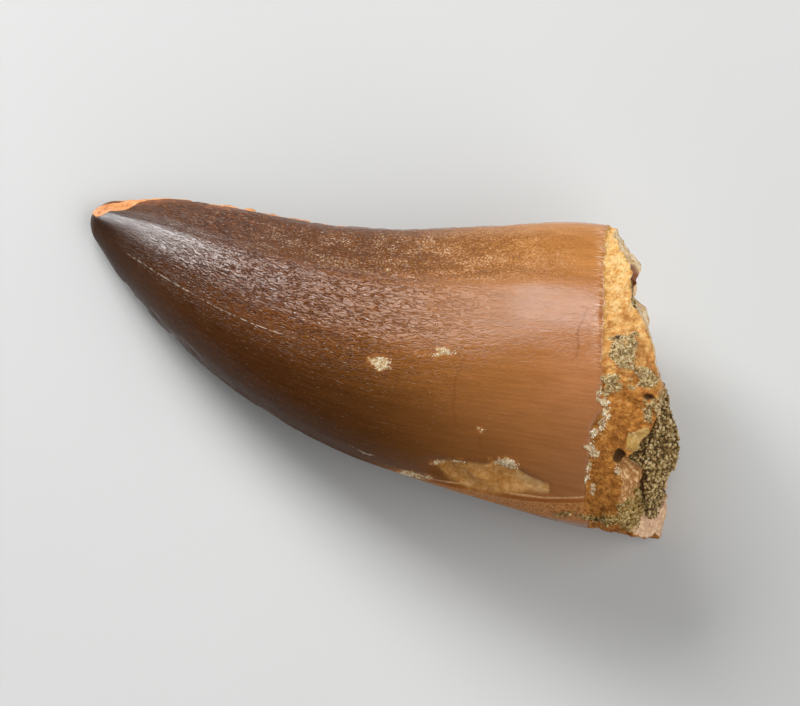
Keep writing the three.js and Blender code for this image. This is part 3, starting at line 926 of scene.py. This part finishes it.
class ToothNodes(Nodes):
    """The tooth's material in layers. Distance is in millimetres from the tip, and side is 1 at
    the distal edge, 0 down the middle of the labial face and -1 at the mesial edge."""

    def __init__(self):
        super().__init__("fossil_enamel_and_dentine", IOR=1.45, Subsurface_Weight=0.08,
                         Subsurface_Scale=0.0008, Subsurface_Radius=(1, 0.45, 0.2))
        self.at = self.place()
        self.grain = self.attribute("grain", "Vector")
        self.distance, self.side, self.arc, self.past_enamel, self.past_mesial = map(
            self.attribute, ("distance", "side", "arc", "past_enamel", "past_mesial"))
        self.wrinkled, self.speckled = map(self.attribute, ("wrinkled", "speckled"))
        self.bent_grain = self.bent(self.grain, 0.8, (0.6, 0.6, 0.6))
        self.speckle = self.noise(self.at, 0.22, 3)
        self.ragged = self.noise(self.at, 0.5, 3, seed=5) - 0.5
        self.wobble = self.noise(self.grain, 3.5, 2, 2.5, 11) - 0.5
        self.crumple = self.noise(self.bent_grain, 0.16, 3, 2.8, 31)
        cells = abs(self.noise(self.bent_grain, 0.28, 2, 3.2, 37) - 0.5)
        # 1 on the crests of the finest wrinkles, and 0 in the grooves between them.
        self.crest = (self.crumple * 0.12 + cells).fade(0.05, 0.13)
        # Millimetres past the painted highlight line along the mesial edge, and the matt band
        # beyond it.
        self.past_edge_highlight = self.wobble * 0.5 + self.past_mesial + EDGE_HIGHLIGHT_OFFSET
        self.near_base = self.distance.fade(27, 34)
        self.under_edge = (self.past_edge_highlight.fade(0, 0.25) * self.near_base
                           * self.past_edge_highlight.fade(5, 3))

    def inside(self, name, raggedness, low, high, share=1):
        """0 outside the places of an attribute and a share inside them, over a ragged edge."""
        return (self.ragged * raggedness + self.attribute(name)).fade(low, high, 0, share)

    def enamel(self):
        """Lengthwise streaks over a slow change from the dark tip to the pale base, with painted
        shade in the wrinkles' grooves and a painted highlight on their crests.
        """
        distance, side, wobble, grain = self.distance, self.side, self.wobble, self.grain
        to_base = distance.fade(24, 40)
        near_distal = side.fade(0.8, 0.98) * wobble.fade(-0.1, 0.1) * distance.fade(30, 18, 0, 0.7)
        enamel = self.layered(
            self.ramp(wobble * 8 + distance, ENAMEL_COLOURS),
            (side.fade(-0.1, -0.75) * distance.fade(24, 41, 0.85, 0.3), ENAMEL_LOW),
            (side.fade(0.25, 0.7) * 0.7, self.mix(to_base, ENAMEL_BRONZE, ENAMEL_GOLD)),
            (near_distal, WORN_ORANGE))
        streaks = self.noise(grain, 0.22, 3, 16, 3)
        streaks = streaks.fade(0.3, 0.7, distance.fade(20, 34, 0.8, 0.92), 1.08)
        enamel = self.scale(enamel, streaks * distance.fade(2, 12, 0.75))
        clouds = self.noise(grain, 0.9, 4, 2, 41).fade(0.3, 0.7, 0, 0.22)
        enamel = self.mix(clouds * to_base, enamel, CLOUD_BROWN)
        # Painted shade in the grooves of the wrinkles, over their deeper orange tone, and a painted
        # highlight on their crests.
        painted_wrinkle_light = self.mix(self.crest, VALLEY_SHADE_TINT, CREST_HIGHLIGHT_TINT)
        return self.mix(self.wrinkled, enamel, painted_wrinkle_light, "MULTIPLY")

    def flank(self, enamel):
        """Fine lines near the tip, then dark, tan and pale grit."""
        lines = self.noise(self.bent_grain, 0.13, 3, 5, 47)
        lined = self.side.fade(0.35, 0.55) * self.distance.fade(18, 13)
        enamel = self.flecked(enamel, lines, lined, FLANK_LINES)
        clusters = self.noise(self.grain, 1, 3, 2, 27).fade(0.38, 0.62, -0.07, 0.04)
        grit = self.noise(self.at, 0.12, 4, 1.3, 17) + clusters
        tan_grit = [0.48, 0.62, self.distance.fade(16, 27, 0.1, 0.34), GRIT_TAN]
        return self.flecked(enamel, grit, self.speckled, [DARK_GRIT, tan_grit, PALE_GRIT])

    def edges(self, enamel):
        """The comb of fine lines at the enamel's edge. Near the base it is worn matt on the
        lingual side of the mesial edge, with a painted highlight line along the edge and a painted
        shadow line beneath it."""
        near_edge = self.past_enamel.fade(-1, -0.1, 0, 0.42) * self.side.fade(-0.3, 0.1)
        enamel = self.flecked(enamel, self.noise(self.grain, 0.11, 1, 7, 9), near_edge, COMB)
        enamel = self.mix(self.under_edge * 0.9, enamel, self.ramp(self.speckle, UNDER_COLOURS))
        # A painted highlight line on the edge's crest and a painted shadow line beneath it.
        for middle, half_width, share, colour in EDGE_HIGHLIGHT_AND_SHADOW_LINES:
            line = abs(self.past_edge_highlight - middle).fade(half_width, 0.02) * self.near_base
            line = line * self.speckle.fade(0.3, 0.6, share / 2, share)
            enamel = self.mix(line, enamel, colour)
        return enamel

    def marks(self, enamel):
        """Hairline cracks, scratches, painted glints on the wrinkles, and a tinge round the cream
        grains.
        """
        unrolled_place = self.get("CombineXYZ", self.distance, self.arc)
        bent_place = self.bent(unrolled_place, 1.3, (0.5, 0.5, 0))
        cracks = self.most(*(self.near_line(bent_place, crack, 0.17) for crack in CRACKS))
        cracks = cracks * self.speckle.fade(0.3, 0.6, 0.15, 0.5)
        scratches = self.most(*(self.near_line(unrolled_place, line, 0.06) for line in SCRATCHES))
        scratches = scratches * self.noise(self.grain, 0.3, 3).fade(0.4, 0.62) * 0.7
        # Painted glints: small white strokes that stand in for highlights sparkling on the
        # wrinkles.
        painted_glints = self.noise(self.bent_grain, 0.1, 2, 3, 21).fade(0.62, 0.72)
        painted_glints = painted_glints * (self.wrinkled * 0.5 + 0.03)
        halo = self.inside("cream", 0.8, -0.22, 0, 0.4)
        return self.layered(enamel, (cracks, CRACK_BROWN),
                            (self.most(scratches, painted_glints), SCRATCH_AND_GLINT_WHITE), (halo, HALO_ORANGE))

    def dentine(self):
        """Mottled orange and cream: in the collar, where enamel has gone, and in the break."""
        on_collar = self.distance.fade(41, 42)
        mottle = (self.noise(self.at, 0.6, 5, seed=2) - 0.5) * 0.7 + 0.5
        mottle = self.side.fade(-0.7, 0.6, -0.15, 0.1) * on_collar + mottle
        mottle = mottle + self.speckle.fade(0.3, 0.7, -0.06, 0.06)
        chip = self.ramp(mottle + self.distance.fade(37.5, 39.5, -0.05, 0.1), CHIP_COLOURS)
        depth = self.attribute("broken")
        broken = depth.fade(-0.05, 0.12)
        layers = self.noise(self.get("CombineXYZ", self.arc, depth), 0.22, 2, 6, 13) - 0.5
        fracture_colour = self.ramp(layers * 0.8 + mottle, FRACTURE_COLOURS)
        lingual = self.past_mesial.fade(3, 6, 0, 0.45)
        fracture_colour = self.mix(lingual, fracture_colour, FRACTURE_PINK)
        dentine = self.layered(
            chip, (on_collar, self.ramp(mottle, DENTINE_COLOURS)),
            (self.distance.fade(24, 20), self.ramp(mottle, TIP_COLOURS)),
            (broken, fracture_colour),
            (self.inside("shard", 0.3, -0.05, 0.1), self.ramp(mottle, SHARD_COLOURS)))
        # Painted shade on the broken wall, partly a real stain: in the hole and on the shaded
        # sliver.
        stain_and_shade = (depth - self.attribute("stain_and_shade")).fade(0, 0.4) * broken
        return self.mix(stain_and_shade, dentine, RIM_STAIN_AND_SHADE_TINT, "MULTIPLY")

    def sheen(self, matt):
        """Sets how strong the shine is, and gives the roughness."""
        distance, side = self.distance, self.side
        valley = self.crest.fade(1, 0) * self.wrinkled
        worn = distance.fade(29, 31) * distance.fade(38.5, 36) * side.fade(0, 0.15, 0, 0.45)
        dull = self.most(valley, self.under_edge, self.speckled, side.fade(0, -0.35, 0, 0.85),
                         worn, side.fade(0.4, 0.65, 0, 0.8))
        self.put(self.shader.inputs["Specular IOR Level"], dull.fade(0, 1, 0.5, 0.12))
        satin = self.noise(self.grain, 0.4, 2, 8, 15).fade(0.3, 0.7, 0.09, 0.24)
        satin = self.under_edge * 0.4 + satin + distance.fade(10, 4, 0, 0.18)
        return between(satin, 0.85, matt)

    def fine_height(self, matt):
        """The height, in millimetres, of what is too fine for the mesh."""
        fine = self.crumple * (self.wrinkled * 0.06 + 0.006)
        fine = fine + self.crest * self.wrinkled * 0.03 + self.speckle * self.speckled * 0.07
        coarse = self.speckle * self.distance.fade(40, 42, 0.08, 0.2)
        return between(fine, coarse, matt)

    def whole(self):
        """The enamel, the bare dentine, and the cream grains, crust and pits on them."""
        enamel = self.marks(self.edges(self.flank(self.enamel())))
        bare_high = self.distance.fade(24, 30, 0.06, 0.35)
        bare = self.most(self.inside("bare", 0.35, -0.04, bare_high),
                         self.past_enamel.fade(-0.05, 0.1))
        cream = self.most(*(self.inside(name, 1.1, 0, 0.12) for name in ("cream", "beads")))
        crust = self.inside("crust", 1.8, -0.1, 0.2)
        high_crust, low_crust = (self.ramp(self.speckle, colours)
                                 for colours in (CRUST_COLOURS, SEDIMENT_COLOURS))
        crust_colour = self.mix(self.past_mesial.fade(-3, -1.5), high_crust, low_crust)
        colour = self.layered(
            enamel, (bare, self.dentine()), (cream, self.ramp(self.speckle, CRUMB_COLOURS)),
            # Dark pits, and painted shade in the hole at the rim.
            (crust, crust_colour), (self.inside("pits", 0.3, -0.05, 0.15), PIT_BROWN_AND_HOLE_SHADE))
        matt = self.most(bare * self.distance.fade(40, 42, 0.6), cream, crust)
        return self.finish(colour, self.sheen(matt), self.fine_height(matt))


def sediment_material(name, colours):
    nodes = Nodes(name)
    place = nodes.place()
    speckle = nodes.noise(place, 0.3, 4)
    patches = nodes.noise(place, 2.5, 2, seed=4) - 0.5
    # The sediment's own surface has no tone and comes out darker than the grains on it: painted
    # shade in the gaps between them.
    tone = patches * 0.3 + speckle + nodes.attribute("tone") * 0.4 - 0.18
    height = nodes.noise(place, 0.12, 3, seed=8) * 0.06
    return nodes.finish(nodes.ramp(tone, colours), speckle.fade(0.3, 0.7, 0.98, 0.8), height)


def floor_material():
    nodes = Nodes("pale_floor")
    cloud = nodes.noise(nodes.place(), 40)
    return nodes.finish(nodes.mix(cloud, *FLOOR_COLOURS), 0.9, 0)


# ---- the pieces ----------------------------------------------------------------------------

enamel_and_dentine = ToothNodes().whole()
sandy_sediment = sediment_material("sandy_sediment_grain", SEDIMENT_COLOURS)
dusty_crust = sediment_material("crust_grain", CRUST_COLOURS)
pale_crumb = sediment_material("pale_crumb", CRUMB_COLOURS)

tooth, tooth_grid, tooth_place = build_tooth(enamel_and_dentine)
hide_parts("tooth")
sediment, sediment_grid = build_sediment(sandy_sediment)
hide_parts("matrix_plug")

# Grains on the surfaces: where they lie, how many there are, their radii and their material.
exposed = sediment_grid[FIRST_BARE_RING:]
in_cavity = tooth_place["broken"] >= WALL
crusted = (tooth_place["crust"] > 0.0) & ~in_cavity
is_low = tooth_place["past_mesial"] > -2.0
GRAINS = {
    "sediment_grains": (exposed, np.ones(exposed.shape[:2]), 6000, (0.06, 0.19), sandy_sediment),
    "crust_grains": (tooth_grid, crusted & ~is_low, 760, (0.03, 0.1), dusty_crust),
    "rim_grains": (tooth_grid, crusted & is_low, 300, (0.04, 0.12), sandy_sediment),
    # The pale crumbs include specks painted where white glints show.
    "cream_crumbs_and_glint_specks": (tooth_grid, tooth_place["cream"] > 0.0, 600, (0.02, 0.07), pale_crumb),
    "pale_beads": (tooth_grid, tooth_place["beads"] > 0.0, 320, (0.03, 0.1), pale_crumb),
}
random = np.random.default_rng(20)
for name, (grid, weight, count, radii, material) in GRAINS.items():
    spots = pick_places(grid, weight, count, random)
    scatter_grains(name, spots, random.uniform(*radii, count), random, material)

# ---- floor, light and camera ---------------------------------------------------------------

FLOOR_RADIUS = 2.0                   # metres
FLOOR_SEGMENTS = 96
LIGHT_COLOUR = (0.95, 0.98, 1.0)
LIT_POINT = Vector((0, 0, 0.008))
SKY_COLOUR = (0.9, 0.93, 1.0, 1.0)
SKY_STRENGTH = 0.08

floor_mesh = bpy.data.meshes.new("floor")
floor_model = bmesh.new()
bmesh.ops.create_circle(floor_model, cap_ends=True, segments=FLOOR_SEGMENTS, radius=FLOOR_RADIUS)
floor_model.to_mesh(floor_mesh)
floor_model.free()
floor_mesh.materials.append(floor_material())
add_object("floor", floor_mesh)


def soft_light(name, direction, distance, width, height, power):
    """A panel that lights the tooth from a direction; its measures are in metres."""
    data = bpy.data.lights.new(name, "AREA")
    data.shape, data.size, data.size_y, data.energy = "RECTANGLE", width, height, power
    data.color = LIGHT_COLOUR
    light = add_object(name, data)
    direction = Vector(direction).normalized()
    light.location = LIT_POINT + direction * distance
    light.rotation_euler = direction.to_track_quat("Z", "Y").to_euler()


soft_light("key", (-0.34, 0.6, 0.72), 0.35, 0.24, 0.2, 1.0)
soft_light("low_key", (-0.66, 0.69, 0.29), 0.35, 0.14, 0.18, 1.3)
soft_light("fill", (0.55, -0.45, 0.7), 0.4, 0.4, 0.4, 1.6)

world = bpy.data.worlds.new("studio")
world.use_nodes = True
background = world.node_tree.nodes["Background"]
background.inputs["Color"].default_value = SKY_COLOUR
background.inputs["Strength"].default_value = SKY_STRENGTH
bpy.context.scene.world = world
bpy.context.scene.view_settings.view_transform = "Standard"

# The photograph looks down on the tooth's own frame at this elevation, from the mesial side.
ELEVATION = math.radians(70)
CAMERA_DISTANCE = 400.0              # millimetres
PIXELS_PER_MM = 13.5                 # at the point it looks at
PHOTO_WIDTH = 800
SENSOR = 36.0
aim = np.array([0.0, 0.0, 8.0])
look_from = aim + CAMERA_DISTANCE * np.array([0, -math.cos(ELEVATION), math.sin(ELEVATION)])
camera_data = bpy.data.cameras.new("camera")
camera_data.sensor_width = SENSOR
camera_data.lens = SENSOR * CAMERA_DISTANCE / (PHOTO_WIDTH / PIXELS_PER_MM)
camera_data.clip_start = 0.01
camera = add_object("camera", camera_data)
camera.location = laid(look_from)
turn = LIE_TURN @ Euler((math.pi / 2 - ELEVATION, 0, 0)).to_matrix()
camera.rotation_euler = turn.to_euler()
bpy.context.scene.camera = camera
